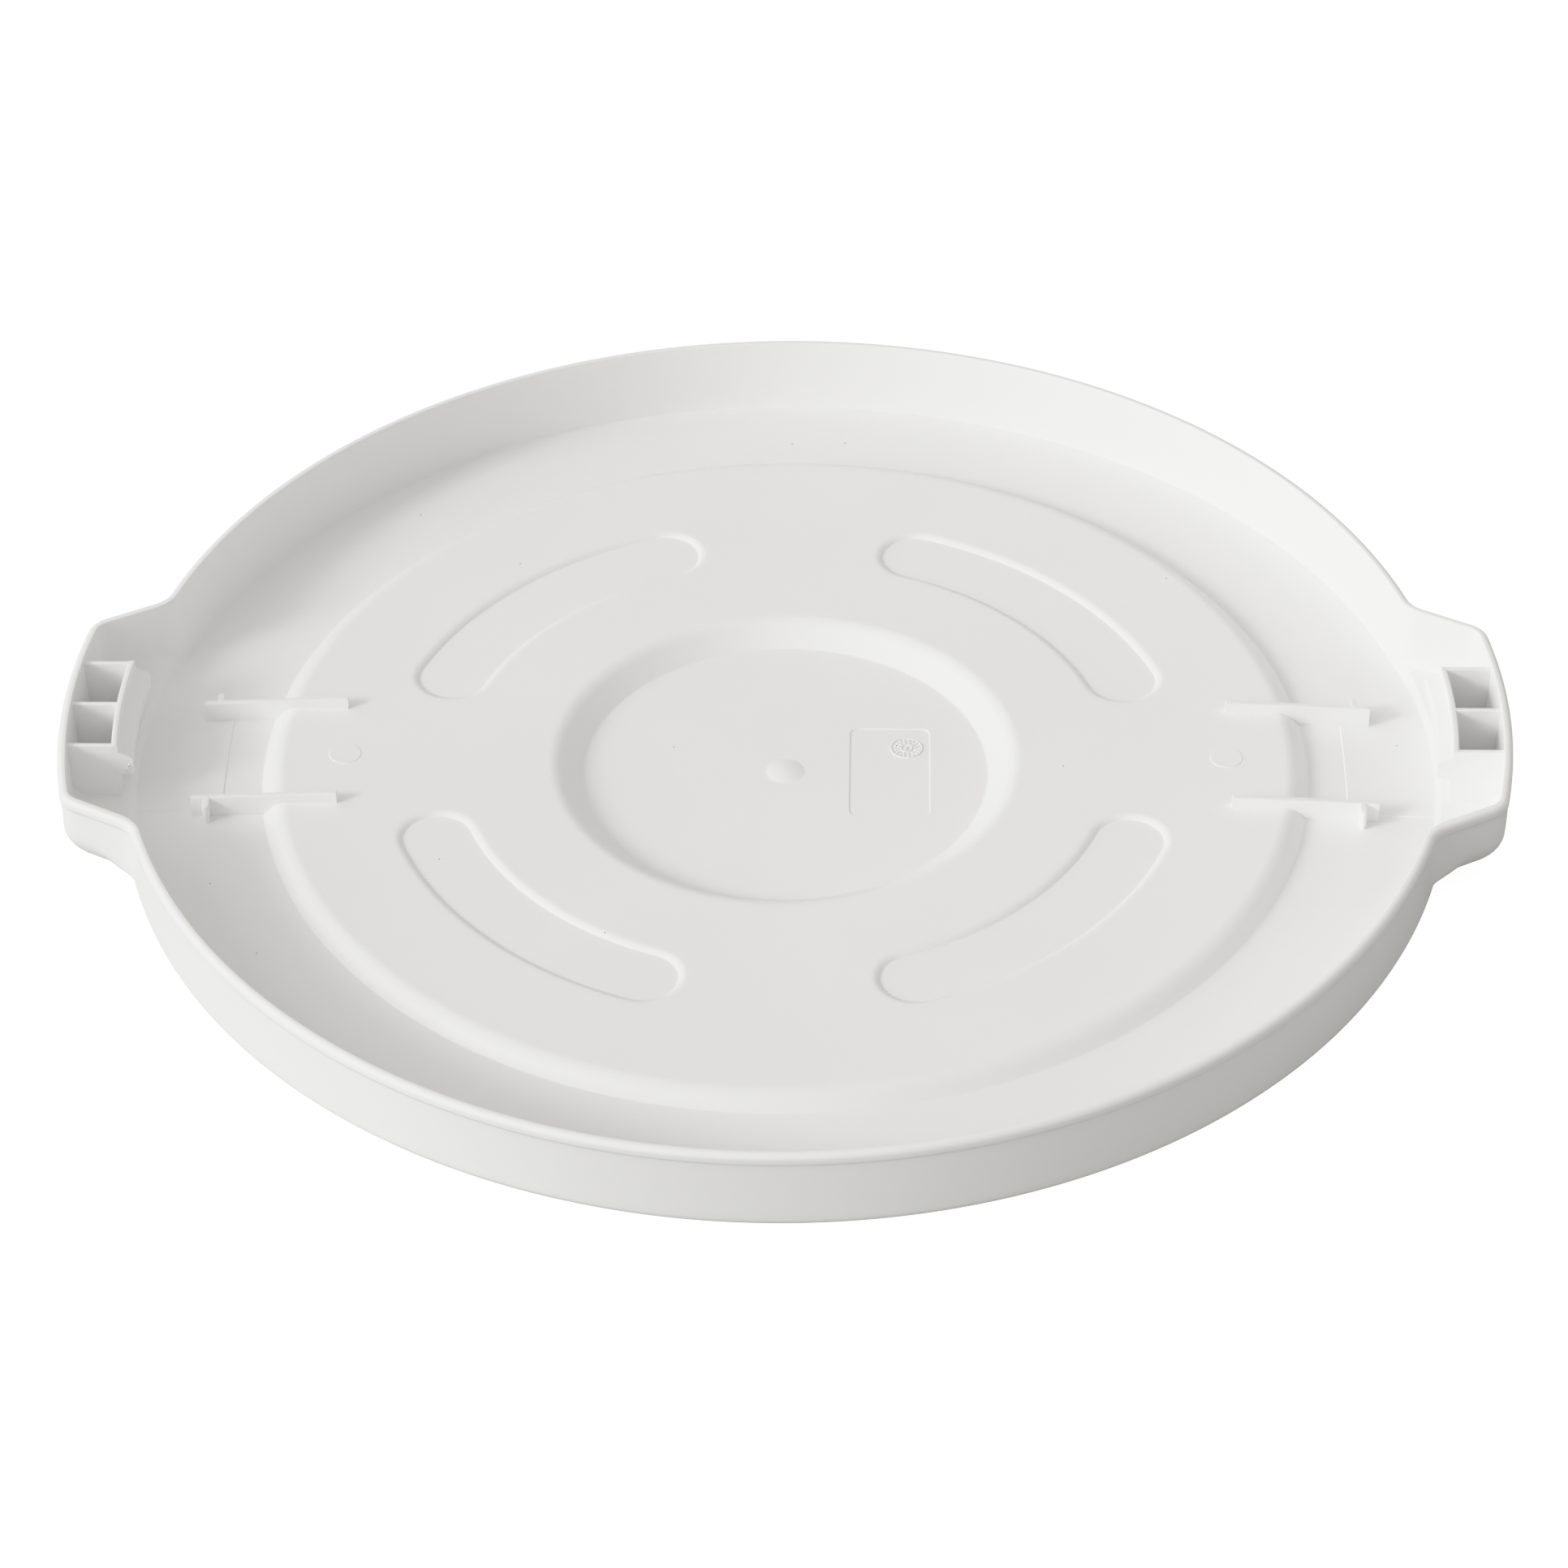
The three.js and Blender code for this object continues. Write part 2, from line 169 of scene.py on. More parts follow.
def outline_table(inset):
    """Angle from the lug's axis and radius, along the rim's outline moved inwards by inset."""
    def polar(radius, degrees):
        return radius * np.array([math.cos(math.radians(degrees)), math.sin(math.radians(degrees))])

    def turn(centre, radius, start, end):
        sweep = np.linspace(start, end, 25)
        return [centre + radius * np.array([math.cos(t), math.sin(t)]) for t in sweep]

    root, corner = polar(RIM, LUG_ROOT), polar(LUG_TIP, LUG_CORNER)
    along = (corner - root) / np.linalg.norm(corner - root)
    out = np.array([-along[1], along[0]])
    side = root @ out - inset
    corner_round, root_round = LUG_CORNER_ROUND - inset, LUG_ROOT_ROUND + inset

    def centre_at(distance, offset):
        return out * offset + along * math.sqrt(distance ** 2 - offset ** 2)

    tip_centre = centre_at(LUG_TIP - inset - corner_round, side - corner_round)
    root_centre = centre_at(RIM - inset + root_round, side + root_round)
    out_angle = math.atan2(out[1], out[0])
    tip_angle = math.atan2(tip_centre[1], tip_centre[0])
    root_angle = math.atan2(root_centre[1], root_centre[0])
    points = turn(np.zeros(2), LUG_TIP - inset, 0, tip_angle)
    points += turn(tip_centre, corner_round, tip_angle, out_angle)
    straight = root_centre - out * root_round
    points += [points[-1] + (straight - points[-1]) * s for s in np.linspace(0.04, 0.96, 24)]
    points += turn(root_centre, root_round, out_angle - math.pi, root_angle - math.pi)
    points += turn(np.zeros(2), RIM - inset, root_angle + 0.001, math.pi / 2)
    angles = np.degrees([math.atan2(p[1], p[0]) for p in points])
    return angles, np.array([np.linalg.norm(p) for p in points])


TABLES = {}


def outline(inset, angle):
    inset = round(inset, 3)
    if inset not in TABLES:
        TABLES[inset] = outline_table(inset)
    return float(np.interp(angle, *TABLES[inset]))


def inside_wall(height, angle):
    """Radius of the skirt's inner face at a height."""
    return outline(RIM_WIDTH + DRAFT * (HEIGHT - height) / (HEIGHT - WALL), angle)


# ---- angles that every ring shares ----

INSERT_ANGLE = math.degrees(math.asin(INSERT_HALF / CREASE))
CRACK = 0.045  # half width of the insert's fine mark, degrees


def quarter_angles():
    """Columns from a lug's axis to the front or the back, closest at the mark and the lug's corners."""
    marks = [INSERT_ANGLE + shift * CRACK for shift in (-6, -1, 1, 6)]
    inner = list(np.linspace(0, marks[0], 9))
    lug = list(np.linspace(marks[-1], LUG_CORNER - 3, 5))[1:]
    corner = list(np.linspace(LUG_CORNER - 3, LUG_ROOT + 2.7, 49))[1:]
    skirt = list(np.linspace(LUG_ROOT + 2.7, 90, 73))[1:]
    return inner + marks[1:] + lug + corner + skirt


QUARTER = quarter_angles()


def full_turn():
    """(angle from the nearer lug's axis, turn in degrees, direction of growth) for every column."""
    right_back = [(a, a, 1) for a in QUARTER]
    left_back = [(a, 180 - a, -1) for a in reversed(QUARTER[:-1])]
    back = right_back + left_back
    front = [(a, 360 - t, -d) for a, t, d in reversed(back[1:-1])]
    return back + front


COLUMNS = full_turn()


def on_insert(angle):
    return angle < INSERT_ANGLE


def place(angle, turn, growth, radius):
    """A column's point at a radius. Columns beside the insert follow its straight edges."""
    near = 1 - abs(angle - INSERT_ANGLE) / INSERT_ANGLE
    if near > 0 and radius < CREASE:
        edge = math.degrees(math.asin(INSERT_HALF / radius))
        turn += growth * near * (edge - INSERT_ANGLE)
    return radius * math.cos(math.radians(turn)), radius * math.sin(math.radians(turn))


# ---- meshes ----

def ring(mesh, radius_height):
    """Adds one vertex for each column; radius_height(angle) gives its radius and height."""
    made = []
    for angle, turn, growth in COLUMNS:
        radius, height = radius_height(angle)
        x, y = place(angle, turn, growth, radius)
        made.append(mesh.verts.new((x, y, height)))
    return made


def bridge(mesh, rings):
    for low, high in zip(rings, rings[1:]):
        for i in range(len(low)):
            j = (i + 1) % len(low)
            mesh.faces.new((low[i], low[j], high[j], high[i]))


def loop_ring(mesh, points, height):
    return [mesh.verts.new((p[0], p[1], height)) for p in points]


def within(points, polygon):
    """Which points lie inside a polygon, by counting crossings."""
    x, y = points[:, 0], points[:, 1]
    inside = np.zeros(len(points), bool)
    for (x0, y0), (x1, y1) in zip(polygon, np.roll(polygon, -1, axis=0)):
        crosses = (y0 > y) != (y1 > y)
        with np.errstate(divide="ignore", invalid="ignore"):
            inside ^= crosses & (x < (x1 - x0) * (y - y0) / (y1 - y0) + x0)
    return inside


def fill(mesh, outer, holes, height, spacing, upwards=True):
    """Fills a flat region between an outer ring and hole rings with even triangles."""
    rings = [outer] + holes
    outlines = [np.array([v.co[:2] for v in r]) for r in rings]
    low, high = outlines[0].min(0), outlines[0].max(0)
    rows = np.arange(low[1], high[1], spacing * math.sqrt(0.75))
    grid = [(x + (k % 2) * spacing / 2, y) for k, y in enumerate(rows)
            for x in np.arange(low[0], high[0], spacing)]
    keep = np.array(grid).reshape(-1, 2)
    keep = keep[within(keep, outlines[0])]
    for hole in outlines[1:]:
        keep = keep[~within(keep, hole)]
    for line in outlines:
        gap = np.linalg.norm(keep[:, None, :] - line[None, :, :], axis=2).min(1)
        keep = keep[gap > spacing * 0.4]
    verts = [v for r in rings for v in r] + [mesh.verts.new((x, y, height)) for x, y in keep]
    edges, start = [], 0
    for r in rings:
        edges += [(start + i, start + (i + 1) % len(r)) for i in range(len(r))]
        start += len(r)
    flat = [Vector(v.co[:2]) for v in verts]
    found, _, faces, origin, _, _ = delaunay_2d_cdt(flat, edges, [], 1, 1e-6)
    centres = np.array([sum((found[i] for i in f), Vector((0, 0))) / 3 for f in faces])
    good = within(centres, outlines[0])
    for hole in outlines[1:]:
        good &= ~within(centres, hole)
    for face, ok in zip(faces, good):
        if ok:
            corner = [verts[origin[i][0]] for i in face]
            mesh.faces.new(corner if upwards else corner[::-1])


def to_object(mesh, name):
    """Turns a bmesh in millimetres into a smooth-shaded object in metres."""
    bmesh.ops.recalc_face_normals(mesh, faces=mesh.faces)
    bmesh.ops.scale(mesh, vec=(MM, MM, MM), verts=mesh.verts)
    for face in mesh.faces:
        face.smooth = True
    data = bpy.data.meshes.new(name)
    mesh.to_mesh(data)
    mesh.free()
    data.set_sharp_from_angle(angle=SHARP_ANGLE)
    made = bpy.data.objects.new(name, data)
    bpy.context.scene.collection.objects.link(made)
    return made


# ---- the moulding ----

def annulus_height(radius, angle):
    """Upper side of the ring outside the step, which dips towards the skirt but hardly at a lug."""
    depth = DIP_DEPTH * smooth((angle - 8) / 10)
    dip = depth * smooth((radius - DIP_FROM) / (CREASE - DIP_FROM))
    return ANNULUS_TOP - ANNULUS_FALL * (radius - STEP_FOOT) - dip


def annulus_rings(mesh):
    """Rings from the foot of the step out to the crease, with the insert's fine mark in them."""
    radii = [STEP_FOOT + 2.2, 227, 232, INSERT_FROM - 1.2, INSERT_FROM - 0.2, INSERT_FROM + 0.2,
             INSERT_FROM + 1.2, 244, 249, 254, 259, 264, 268, 271.5, CREASE - 2.6]
    rings = []
    for radius in radii:
        near = max(0.0, 1 - abs(radius - INSERT_FROM) / INSERT_FADE)

        def at(angle, radius=radius, near=near):
            straight = 1 / math.cos(math.radians(min(angle, INSERT_FLAT))) - 1
            bulge = straight * (1 - smooth((angle - INSERT_FLAT) / 5))
            raised = INSERT_STEP if on_insert(angle) and radius > INSERT_FROM else 0.0
            return radius + INSERT_FROM * bulge * near, annulus_height(radius, angle) + raised
        rings.append(ring(mesh, at))
    return rings


def wall_section(angle):
    """Corners of the wall, from the crease over the rim and round to the step's underside."""
    inner, crease_height = annulus_height(CREASE - 2.5, angle), annulus_height(CREASE, angle)
    raised = INSERT_STEP if on_insert(angle) else 0.0
    floor_edge = inside_wall(LUG_FLOOR, angle)
    skirt_low = outline(RIM_WIDTH + DRAFT, 90)
    mouth = min(MOUTH_EDGE, inside_wall(LUG_MOUTH, angle))
    outer, foot = outline(BAND_PROUD, angle), RIM - BAND_PROUD
    lug_depth = outer - foot
    underside = LUG_UNDERSIDE + 1.4 * max(0.0, 1 - lug_depth / LUG_BLEND) ** 2
    underside_round = min(LUG_UNDERSIDE_ROUND, LUG_BLEND + lug_depth / 2)
    band_foot = HEIGHT - BAND_DEPTH
    top_inner, top_outer = outline(RIM_WIDTH, angle), outline(0, angle)
    deck_under = DECK_TOP - WALL
    return [
        # inside, from the crease up
        (CREASE - 2.5, inner + raised, 0, 0),
        (skirt_low, crease_height + raised, 0.6, 4),
        (mouth, LUG_MOUTH, 0.6, 4),
        (floor_edge, LUG_FLOOR, FLOOR_FILLET, 8),
        (inside_wall(20, angle), 20, 0, 0),
        (inside_wall(32, angle), 32, 0, 0),
        # over the rim and down its band
        (top_inner, HEIGHT, 0.4, 4),
        (top_outer, HEIGHT, RIM_ROUND, 8),
        (top_outer, band_foot, FINE_ROUND, 3),
        (outer, band_foot - BAND_SLOPE, FINE_ROUND, 3),
        # outside, down to the resting ring
        (outer, 28, 0, 0),
        (outer, 24, 0, 0),
        (outer, underside, underside_round, 10),
        (foot, min(6.4, underside - 0.9), 0.8, 3),
        (foot, 0, FOOT_ROUND, 6),
        # under the deck, inwards
        (FOOT_INNER, 0, 1.2, 3),
        (FOOT_INNER - 10, 3.6, 4, 4),
        (250, 4.0, 0, 0),
        (236, 4.5, 0, 0),
        (221.2, ANNULUS_TOP - WALL, 1.6, 4),
        (214.6, deck_under, 2.6, 6),
        (210.5, deck_under, 0, 0),
    ]


def step_section():
    return rounded([(211.4, DECK_TOP, 0, 0), (STEP_CORNER, DECK_TOP, STEP_ROUND, 8),
                    (STEP_FOOT, ANNULUS_TOP, 0.45, 3), (STEP_FOOT + 1.0, ANNULUS_TOP, 0, 0)])


def slot_outline(quadrant, half_width):
    """A curved slot with round ends; every half width gives the same number of points."""
    start, end = math.radians(quadrant + SLOT_FROM), math.radians(quadrant + SLOT_TO)

    def arc(centre, radius, low, high, steps):
        return [(centre[0] + radius * math.cos(t), centre[1] + radius * math.sin(t))
                for t in np.linspace(low, high, steps, endpoint=False)]

    ends = [(SLOT_RADIUS * math.cos(t), SLOT_RADIUS * math.sin(t)) for t in (start, end)]
    return (arc((0, 0), SLOT_RADIUS + half_width, start, end, 44)
            + arc(ends[1], half_width, end, end + math.pi, 22)
            + arc((0, 0), SLOT_RADIUS - half_width, end, start, 34)
            + arc(ends[0], half_width, start + math.pi, start + 2 * math.pi, 22))


def circle(centre, radius, steps):
    return [(centre[0] + radius * math.cos(t), centre[1] + radius * math.sin(t))
            for t in np.linspace(0, 2 * math.pi, steps, endpoint=False)]


def rounded_rectangle(x0, x1, half, radius, grow=0.0, steps=6):
    x0, x1, half, radius = x0 - grow, x1 + grow, half + grow, radius + grow
    centres = [(x1 - radius, half - radius), (x0 + radius, half - radius),
               (x0 + radius, radius - half), (x1 - radius, radius - half)]
    points = []
    for k, (cx, cy) in enumerate(centres):
        points += [(cx + radius * math.cos(t), cy + radius * math.sin(t))
                   for t in np.linspace(k * math.pi / 2, (k + 1) * math.pi / 2, steps + 1)]
    return points


def sunken(mesh, outline_at, section, spacing):
    """A recess or a rise in a flat: rings along its section, and its flat middle.

    Returns the outer ring, which is a hole's edge in the flat.
    """
    rings = [loop_ring(mesh, outline_at(width), height) for width, height in section]
    bridge(mesh, rings)
    fill(mesh, rings[-1], [], section[-1][1], spacing)
    return rings[0]


def deck_top(mesh, outer):
    holes = []
    lip = rounded([(19.4, DECK_TOP, 0, 0), (SLOT_LIP, DECK_TOP, 2.1, 6),
                   (SLOT_FLOOR, DECK_TOP - SLOT_DEPTH, 0.3, 3), (13.6, DECK_TOP - SLOT_DEPTH, 0, 0)])
    for quadrant in (0, 90, 180, 270):
        holes.append(sunken(mesh, lambda w, q=quadrant: slot_outline(q, w), lip, 8))
    raised = DECK_TOP + EJECTOR_STEP
    for side in (-1, 1):
        edge = [(EJECTOR_RADIUS + 0.5, DECK_TOP), (EJECTOR_RADIUS, DECK_TOP),
                (EJECTOR_RADIUS - 0.25, raised), (EJECTOR_RADIUS - 0.5, raised)]
        holes.append(sunken(mesh, lambda r, s=side: circle((s * EJECTOR_AT, 0), r, 48), edge, 4))
    well = rounded([(101.4, DECK_TOP, 0, 0), (WELL_CORNER, DECK_TOP, WELL_ROUND, 9),
                    (WELL_FLOOR, WELL_TOP, 0.5, 3), (WELL_FLOOR - 1.2, WELL_TOP, 0, 0)])
    rings = [loop_ring(mesh, circle((0, 0), r, 288), z) for r, z in well]
    bridge(mesh, rings)
    fill(mesh, outer, holes + [rings[0]], DECK_TOP, 9)
    well_floor(mesh, rings[-1])


def well_floor(mesh, outer):
    dome = [(GATE_RADIUS * s, WELL_TOP + GATE_HEIGHT * (1 - s * s)) for s in np.linspace(1, 0.08, 12)]
    gate = sunken(mesh, lambda r: circle((0, 0), r, 48), [(GATE_RADIUS + 0.4, WELL_TOP)] + dome, 1)
    panel = WELL_TOP - LABEL_DEPTH
    edge = [(0.5, WELL_TOP), (0.0, WELL_TOP), (-0.3, panel), (-0.7, panel)]
    label = sunken(mesh, lambda g: rounded_rectangle(*LABEL_X, LABEL_HALF, LABEL_ROUND, g), edge, 6)
    fill(mesh, outer, [gate, label], WELL_TOP, 8)


def deck_underside(mesh, outer):
    under = DECK_TOP - WALL
    holes = []
    edge = rounded([(19.2, under, 0, 0), (17.6, under, 0.8, 4), (16.6, under - SLOT_DEPTH, 0.8, 4),
                    (14.8, under - SLOT_DEPTH, 0, 0)])
    for quadrant in (0, 90, 180, 270):
        rings = [loop_ring(mesh, slot_outline(quadrant, w), z) for w, z in edge]
        bridge(mesh, rings)
        fill(mesh, rings[-1], [], under - SLOT_DEPTH, 8, False)
        holes.append(rings[0])
    well = rounded([(103, under, 0, 0), (98.1, under, 3.5, 7), (87.3, WELL_TOP - WALL, 3, 7),
                    (82, WELL_TOP - WALL, 0, 0)])
    rings = [loop_ring(mesh, circle((0, 0), r, 288), z) for r, z in well]
    bridge(mesh, rings)
    fill(mesh, rings[-1], [], WELL_TOP - WALL, 9, False)
    fill(mesh, outer, holes + [rings[0]], under, 9, False)


def moulding():
    """Deck, skirt and lugs, as the one continuous shell that they are."""
    mesh = bmesh.new()
    sections = {angle: rounded(wall_section(angle)) for angle in QUARTER}
    rings = [ring(mesh, lambda angle, p=point: tuple(p)) for point in step_section()]
    rings += annulus_rings(mesh)
    count = len(sections[QUARTER[0]])
    rings += [ring(mesh, lambda angle, k=k: tuple(sections[angle][k])) for k in range(count)]
    bridge(mesh, rings)
    deck_top(mesh, rings[0])
    deck_underside(mesh, rings[-1])
    return to_object(mesh, "lid_moulding")


# ---- ribs in the lugs ----

def evaluated(piece):
    """Applies a piece's modifiers."""
    graph = bpy.context.evaluated_depsgraph_get()
    data = bpy.data.meshes.new_from_object(piece.evaluated_get(graph))
    piece.modifiers.clear()
    old = piece.data
    piece.data = data
    bpy.data.meshes.remove(old)
    data.name = piece.name
    data.set_sharp_from_angle(angle=SHARP_ANGLE)


def union(pieces, name):
    """Joins closed solids into one."""
    first = pieces[0]
    for other in pieces[1:]:
        cut = first.modifiers.new("join", "BOOLEAN")
        cut.operation, cut.solver, cut.object = "UNION", "EXACT", other
    evaluated(first)
    for other in pieces[1:]:
        bpy.data.objects.remove(other)
    first.name = name
    first.data.name = name
    return first


def prism(name, outline_points, low, high, bevel, strip=False):
    """An upright prism with its upper edges rounded.

    Its ends, low and high, are heights or functions of x and y. With strip, the outline goes out
    along one side and back along the other, and the low end may curve along them.
    """
    mesh = bmesh.new()
    level = [h if callable(h) else (lambda x, y, h=h: h) for h in (low, high)]
    floor = [mesh.verts.new((x, y, level[0](x, y))) for x, y in outline_points]
    roof = [mesh.verts.new((x, y, level[1](x, y))) for x, y in outline_points]
    bridge(mesh, [floor, roof])
    top = mesh.faces.new(roof)
    if strip:
        back = floor[::-1]
        for i in range(len(floor) // 2 - 1):
            mesh.faces.new((floor[i + 1], floor[i], back[i], back[i + 1]))
    else:
        mesh.faces.new(floor[::-1])
    bmesh.ops.recalc_face_normals(mesh, faces=mesh.faces)
    bmesh.ops.bevel(mesh, geom=list(top.edges), offset=bevel, segments=3, profile=0.5,
                    affect="EDGES", clamp_overlap=True)
    return to_object(mesh, name)


def rib_wall(side):
    """The curved wall with its snap bead, swept round the lug's mouth."""
    low = LUG_FLOOR - RIB_SINK
    section = rounded([
        (RIB_INNER + RIB_THICKNESS, 20, 0, 0),
        (RIB_INNER + RIB_THICKNESS, RIB_TOP, 0.5, 3),
        (RIB_INNER, RIB_TOP, 0.5, 3),
        (RIB_INNER, BEAD_CREST, 0.5, 3),
        (RIB_INNER - BEAD_REACH, BEAD_TOP, 1.5, 5),
        (RIB_INNER - BEAD_REACH, BEAD_BOTTOM, 1.0, 4),
        (RIB_INNER, BEAD_ROOT, 0.5, 3),
        (RIB_INNER, low, 0, 0),
        (RIB_INNER + RIB_THICKNESS, low, 0, 0),
    ])
    mesh = bmesh.new()
    stations = np.linspace(RIB_FROM, RIB_TO, 30)
    rings = [[mesh.verts.new((side * math.sqrt(r * r - y * y), y, z)) for r, z in section]
             for y in stations]
    bridge(mesh, rings)
    for cap in (rings[0], rings[-1]):
        mesh.faces.new(cap)
    return to_object(mesh, "rib_wall")


def partition_foot(x, y):
    """A little below the lug's floor and the fillet that rises to its wall."""
    wall = inside_wall(LUG_FLOOR, 0)
    along = min(FLOOR_FILLET, max(0.0, math.hypot(x, y) - wall + FLOOR_FILLET))
    return LUG_FLOOR - PARTITION_SINK + FLOOR_FILLET - math.sqrt(FLOOR_FILLET ** 2 - along ** 2)


def lug_ribs(side, name):
    pieces = [rib_wall(side)]
    half = PARTITION_THICKNESS / 2
    for y in PARTITIONS:
        start = math.sqrt(RIB_INNER ** 2 - y * y) + 1.2  # inside the curved wall
        end = math.sqrt((LUG_TIP - RIM_WIDTH) ** 2 - y * y) + 0.5  # inside the lug's wall
        xs = np.linspace(start, end, 24)
        plan = [(side * x, y - half) for x in xs] + [(side * x, y + half) for x in xs[::-1]]
        pieces.append(prism("partition", plan, partition_foot, RIB_TOP - PARTITION_DROP, 0.4,
                            strip=True))
    return union(pieces, name)


def bead_flash(name):
    """A few ragged flakes of flash at the front end of the left lug's snap bead."""
    draw = random.Random(7)
    mesh = bmesh.new()
    radius = RIB_INNER - BEAD_REACH + FLASH_IN
    centre = np.array([-math.sqrt(radius ** 2 - RIB_FROM ** 2), RIB_FROM, FLASH_HEIGHT])
    for _ in range(9):
        middle = centre + [draw.uniform(-2.2, 1.6), draw.uniform(-0.3, 0.05), draw.uniform(-2.4, 2.0)]
        flake = [mesh.verts.new(middle + [draw.uniform(-0.9, 0.9), draw.uniform(-0.4, 0.4),
                                          draw.uniform(-0.8, 0.8)]) for _ in range(9)]
        hull = bmesh.ops.convex_hull(mesh, input=flake)
        inner = [v for v in hull["geom_interior"] if isinstance(v, bmesh.types.BMVert)]
        bmesh.ops.delete(mesh, geom=inner, context="VERTS")
    return to_object(mesh, name)


# ---- guide rails ----

def rail_top(x, y):
    share = (abs(x) - RAIL_INNER) / (RAIL_OUTER - RAIL_INNER)
    return RAIL_INNER_TOP + (RAIL_OUTER_TOP - RAIL_INNER_TOP) * share


def tee_top(x, y):
    """A hair above the rail's top where they meet, and falling away from it."""
    beyond = max(0.0, abs(y) - RAIL_SIDE - RAIL_THICKNESS / 2)
    return rail_top(x, y) + TEE_PROUD - TEE_FALL * beyond / TEE_REACH


def rail_foot(x, y):
    """A little below the deck's surface, so that the rail grows out of it."""
    radius = math.hypot(x, y)
    if radius > STEP_FOOT:
        return annulus_height(radius, 0) - RAIL_SINK
    return float(np.interp(radius, *zip(*step_section()))) - RAIL_SINK


def guide_rail(side, way, name):
    half = RAIL_THICKNESS / 2
    xs = np.linspace(RAIL_INNER, RAIL_OUTER, 90)
    tee = TEE_THICKNESS / 2
    blade = [(x, RAIL_SIDE - half) for x in xs] + [(x, RAIL_SIDE + half) for x in xs[::-1]]
    nose = [(TEE_AT - tee, RAIL_SIDE), (TEE_AT + tee, RAIL_SIDE)]
    reach = RAIL_SIDE + half + TEE_REACH - tee
    nose += [(TEE_AT + tee * math.cos(t), reach + tee * math.sin(t)) for t in np.linspace(0, math.pi, 13)]
    parts = []
    for part, plan, top, strip in (("blade", blade, rail_top, True), ("tee", nose, tee_top, False)):
        plan = [(side * x, way * y) for x, y in plan]
        parts.append(prism(part, plan, rail_foot, top, 0.3, strip))
    return union(parts, name)


# ---- the date dial's marks ----

def dial(name):
    """A generic moulder's dial: fine rings, two rows of ticks and a pointer, barely raised."""
    mesh = bmesh.new()
    base, top = WELL_TOP - LABEL_DEPTH - 0.1, WELL_TOP - LABEL_DEPTH + 0.4

    def ridge(radius, width):
        profile = [(radius - width / 2, base), (radius - width / 4, top), (radius + width / 4, top),
                   (radius + width / 2, base)]
        rings = [loop_ring(mesh, circle(DIAL_CENTRE, r, 48), z) for r, z in profile]
        bridge(mesh, rings + [rings[0]])

    def bar(angle, near, far, width):
        turn = Matrix.Rotation(angle, 4, "Z")
        move = Matrix.Translation((*DIAL_CENTRE, (base + top) / 2))
        shape = Matrix.Diagonal((far - near, width, top - base, 1))
        shift = Matrix.Translation(((near + far) / 2, 0, 0))
        bmesh.ops.create_cube(mesh, size=1, matrix=move @ turn @ shift @ shape)

    ridge(DIAL_RADIUS - 0.3, 0.5)
    ridge(2.3, 0.5)
    for k in range(18):
        bar(k * math.pi / 9, 4.8, 6.0, 0.6)
    for k in range(12):
        bar(k * math.pi / 6 + 0.2, 3.2, 4.3, 0.55)
    bar(math.radians(70), -1.6, 1.6, 0.6)
    return to_object(mesh, name)


# ---- material ----

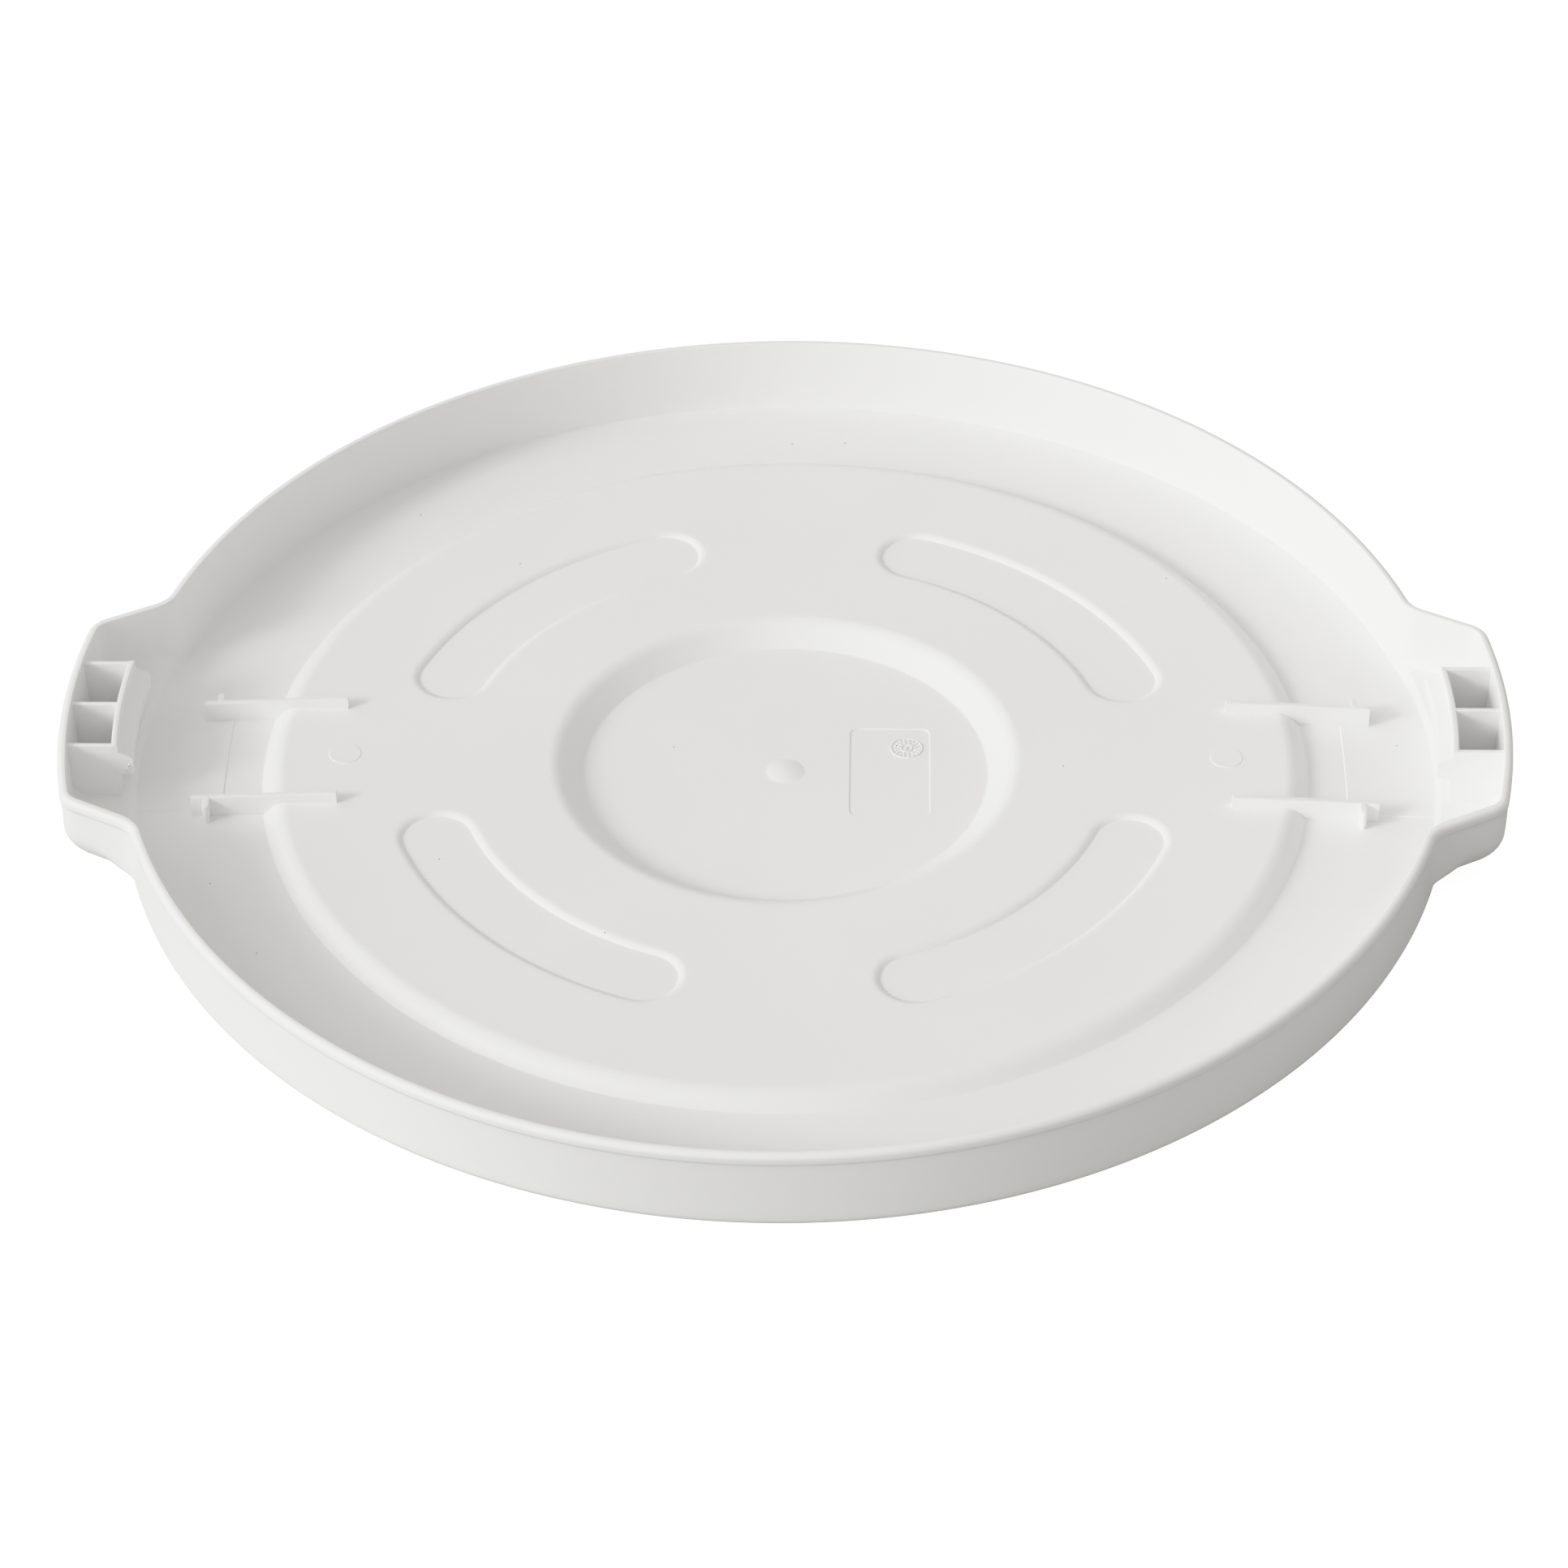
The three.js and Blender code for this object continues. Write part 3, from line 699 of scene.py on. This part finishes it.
def plastic():
    """Satin white polyethylene: faint mottling, fine grain and a few moulded-in specks."""
    material = bpy.data.materials.new("white_plastic_moulded")
    material.use_nodes = True
    tree = material.node_tree
    nodes, links = tree.nodes, tree.links
    shader = nodes["Principled BSDF"]
    shader.inputs["IOR"].default_value = 1.5
    shader.inputs["Specular IOR Level"].default_value = 0.42
    coordinates = nodes.new("ShaderNodeTexCoord")

    def noise(scale, detail, roughness=0.5):
        node = nodes.new("ShaderNodeTexNoise")
        node.inputs["Scale"].default_value = scale
        node.inputs["Detail"].default_value = detail
        node.inputs["Roughness"].default_value = roughness
        links.new(coordinates.outputs["Object"], node.inputs["Vector"])
        return node.outputs["Fac"]

    def ramp(source, stops):
        node = nodes.new("ShaderNodeValToRGB")
        node.color_ramp.elements[0].position, node.color_ramp.elements[0].color = stops[0]
        node.color_ramp.elements[1].position, node.color_ramp.elements[1].color = stops[-1]
        links.new(source, node.inputs["Fac"])
        return node.outputs["Color"]

    def mapped(source, low, high, to_low, to_high):
        node = nodes.new("ShaderNodeMapRange")
        values = {"From Min": low, "From Max": high, "To Min": to_low, "To Max": to_high}
        for socket, value in values.items():
            node.inputs[socket].default_value = value
        links.new(source, node.inputs["Value"])
        return node.outputs["Result"]

    def blend(fac, under, over):
        node = nodes.new("ShaderNodeMix")
        node.data_type = "RGBA"
        links.new(fac, node.inputs["Factor"])
        links.new(under, node.inputs["A"])
        node.inputs["B"].default_value = over
        return node.outputs["Result"]

    base = ramp(noise(7, 3), [(0.35, (0.925, 0.924, 0.917, 1)), (0.65, (0.940, 0.939, 0.934, 1))])
    cells = nodes.new("ShaderNodeTexVoronoi")
    cells.voronoi_dimensions = "2D"
    cells.inputs["Scale"].default_value = 42
    cells.inputs["Randomness"].default_value = 1
    links.new(coordinates.outputs["Object"], cells.inputs["Vector"])
    pick = nodes.new("ShaderNodeSeparateColor")
    links.new(cells.outputs["Color"], pick.inputs["Color"])
    facing = nodes.new("ShaderNodeSeparateXYZ")
    links.new(nodes.new("ShaderNodeNewGeometry").outputs["Normal"], facing.inputs["Vector"])
    speck = mapped(pick.outputs["Red"], 0.955, 0.96, 0, 1)
    for factor in (mapped(cells.outputs["Distance"], 0.008, 0.018, 1, 0),
                   mapped(facing.outputs["Z"], 0.9, 0.95, 0, 1)):
        product = nodes.new("ShaderNodeMath")
        product.operation = "MULTIPLY"
        links.new(speck, product.inputs[0])
        links.new(factor, product.inputs[1])
        speck = product.outputs["Value"]
    colour = blend(speck, base, (0.36, 0.34, 0.30, 1))
    links.new(colour, shader.inputs["Base Color"])
    links.new(mapped(noise(60, 4), 0.3, 0.7, 0.40, 0.50), shader.inputs["Roughness"])

    grain = noise(2600, 2)
    ripple = noise(38, 2)
    fine = nodes.new("ShaderNodeBump")
    fine.inputs["Strength"].default_value = 0.12
    fine.inputs["Distance"].default_value = 0.00006
    links.new(grain, fine.inputs["Height"])
    wide = nodes.new("ShaderNodeBump")
    wide.inputs["Strength"].default_value = 0.10
    wide.inputs["Distance"].default_value = 0.0006
    links.new(ripple, wide.inputs["Height"])
    links.new(fine.outputs["Normal"], wide.inputs["Normal"])
    links.new(wide.outputs["Normal"], shader.inputs["Normal"])
    return material


# ---- stage ----

def floor_and_light():
    bpy.ops.mesh.primitive_plane_add(size=30, location=(0, 0, -0.0002))
    floor = bpy.context.object
    floor.name = "studio_floor"
    material = bpy.data.materials.new("studio_floor")
    material.use_nodes = True
    nodes, links = material.node_tree.nodes, material.node_tree.links
    shader = nodes["Principled BSDF"]
    shader.inputs["Base Color"].default_value = (0.52, 0.52, 0.51, 1)
    shader.inputs["Roughness"].default_value = 0.9
    shader.inputs["Specular IOR Level"].default_value = 0.0
    path = nodes.new("ShaderNodeLightPath")
    glow = nodes.new("ShaderNodeMath")
    glow.operation = "MULTIPLY"
    glow.inputs[1].default_value = 1.3
    links.new(path.outputs["Is Camera Ray"], glow.inputs[0])
    shader.inputs["Emission Color"].default_value = (1, 1, 1, 1)
    links.new(glow.outputs["Value"], shader.inputs["Emission Strength"])
    floor.data.materials.append(material)

    world = bpy.data.worlds.new("studio")
    bpy.context.scene.world = world
    world.use_nodes = True
    background = world.node_tree.nodes["Background"]
    background.inputs["Color"].default_value = (1.0, 0.985, 0.962, 1)
    background.inputs["Strength"].default_value = 0.575

    for name, direction, energy, spread in (("key", (-0.78, -0.42, 0.44), 0.95, 16),
                                            ("softbox", (-0.93, -0.25, 0.26), 1.10, 80)):
        lamp = bpy.data.lights.new(name, "SUN")
        lamp.energy = energy
        lamp.color = (0.985, 0.995, 1.0)
        lamp.angle = math.radians(spread)
        stand = bpy.data.objects.new(name, lamp)
        bpy.context.scene.collection.objects.link(stand)
        stand.rotation_mode = "QUATERNION"
        stand.rotation_quaternion = Vector(direction).to_track_quat("Z", "Y")


def camera():
    """The photograph's view: from the front, 38 degrees above the horizon, with a long lens."""
    elevation, azimuth, roll = map(math.radians, (CAMERA_ELEVATION, CAMERA_AZIMUTH, CAMERA_ROLL))
    back = Vector((math.sin(azimuth) * math.cos(elevation), -math.cos(azimuth) * math.cos(elevation),
                   math.sin(elevation)))
    right = (-back).cross(Vector((0, 0, 1))).normalized()
    up = right.cross(-back)
    across = right * math.cos(roll) + up * math.sin(roll)
    upright = up * math.cos(roll) - right * math.sin(roll)
    data = bpy.data.cameras.new("camera")
    data.sensor_width = SENSOR
    data.lens = LENS
    data.clip_start, data.clip_end = 0.1, 50
    seen = bpy.data.objects.new("camera", data)
    bpy.context.scene.collection.objects.link(seen)
    turn = Matrix((across, upright, back)).transposed()
    stand = Vector(CAMERA_AIM) + back * CAMERA_DISTANCE
    seen.matrix_world = Matrix.Translation(stand) @ turn.to_4x4()
    bpy.context.scene.camera = seen


def plain_colours():
    """Shows colours as they are, with the object's brightest whites held just under the floor's."""
    settings = bpy.context.scene.view_settings
    settings.view_transform = "Standard"
    settings.use_curve_mapping = True
    curves = settings.curve_mapping
    curves.clip_max_x = curves.clip_max_y = 2
    tone = curves.curves[3]
    tone.points[1].location = (1.5, 1.0)
    for level, shown in ((0.70, 0.70), (0.84, 0.825), (1.0, 0.885), (1.2, 0.93)):
        tone.points.new(level, shown)
    curves.update()


# ---- assembly ----

camera()
floor_and_light()
finish = plastic()

pieces = {moulding(): ("deck_panel", "skirt_front", "skirt_back", "handle_lug_right", "handle_lug_left")}
for side_name, side in (("right", 1), ("left", -1)):
    pieces[lug_ribs(side, f"rib_cells_{side_name}")] = (f"lug_ribs_{side_name}",)
    for way_name, way in (("back", 1), ("front", -1)):
        rail = guide_rail(side, way, f"rail_{side_name}_{way_name}")
        pieces[rail] = (f"guide_rail_{side_name}_{way_name}",)
pieces[dial("date_dial")] = ()
pieces[bead_flash("bead_flash_left")] = ()

for piece, stood_for in pieces.items():
    piece.data.materials.clear()
    piece.data.materials.append(finish)
    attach(piece, "root")
    if stood_for:
        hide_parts(*stood_for)

plain_colours()
